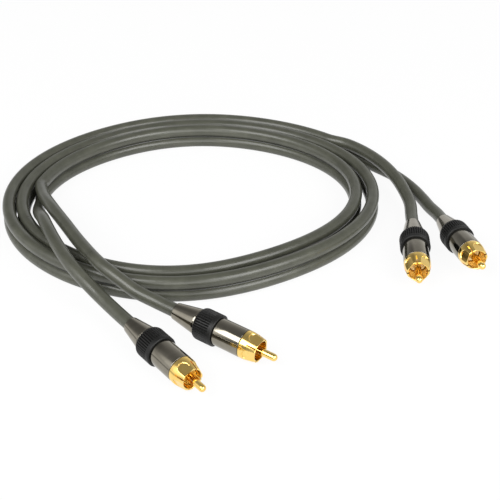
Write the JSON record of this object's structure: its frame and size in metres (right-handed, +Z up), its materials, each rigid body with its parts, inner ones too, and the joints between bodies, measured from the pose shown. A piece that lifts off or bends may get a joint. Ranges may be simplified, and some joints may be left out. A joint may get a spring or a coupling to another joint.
{
  "type": "rca audio cable",
  "caption": "Stereo phono cable: a flat twin jacket wound in a loose spiral, split at both ends into legs with gold-tipped phono plugs in dark metal shells.",
  "frame": {"origin": "on the surface the cable lies on, under the middle of the box round the four plugs", "axes": "+Z up from the surface; +Y away from the viewer of the picture, towards the far side of the coil; +X to the viewer's right"},
  "size_m": [0.2313, 0.2347, 0.0204],
  "materials": {
    "grey_jacket": "satin soft PVC",
    "black_nickel_shell": "polished black-nickel plate on turned brass",
    "black_grip_ring": "matte, ribbed",
    "gold_contact": "polished gold plate on brass",
    "white_insulator": "matte",
    "plain_brass": "bright turned",
    "bare_copper": "bare drawn copper"
  },
  "bodies": {
    "root": {"twin_jacket": "grey_jacket", "leg_1": "grey_jacket", "tail_sleeve_1": "black_nickel_shell", "grip_ring_1": "black_grip_ring", "barrel_1": "black_nickel_shell", "outer_contact_1": "gold_contact", "insulator_1": "white_insulator", "pin_1": "gold_contact", "collet_1": "plain_brass", "jacket_end_1": "grey_jacket", "braid_end_1": "bare_copper", "dielectric_end_1": "white_insulator", "wire_end_1": "bare_copper", "leg_2": "grey_jacket", "tail_sleeve_2": "black_nickel_shell", "grip_ring_2": "black_grip_ring", "barrel_2": "black_nickel_shell", "outer_contact_2": "gold_contact", "insulator_2": "white_insulator", "pin_2": "gold_contact", "collet_2": "plain_brass", "jacket_end_2": "grey_jacket", "braid_end_2": "bare_copper", "dielectric_end_2": "white_insulator", "wire_end_2": "bare_copper", "leg_3": "grey_jacket", "tail_sleeve_3": "black_nickel_shell", "grip_ring_3": "black_grip_ring", "barrel_3": "black_nickel_shell", "outer_contact_3": "gold_contact", "insulator_3": "white_insulator", "pin_3": "gold_contact", "collet_3": "plain_brass", "jacket_end_3": "grey_jacket", "braid_end_3": "bare_copper", "dielectric_end_3": "white_insulator", "wire_end_3": "bare_copper", "leg_4": "grey_jacket", "tail_sleeve_4": "black_nickel_shell", "grip_ring_4": "black_grip_ring", "barrel_4": "black_nickel_shell", "outer_contact_4": "gold_contact", "insulator_4": "white_insulator", "pin_4": "gold_contact", "collet_4": "plain_brass", "jacket_end_4": "grey_jacket", "braid_end_4": "bare_copper", "dielectric_end_4": "white_insulator", "wire_end_4": "bare_copper"}
  },
  "joints": []
}
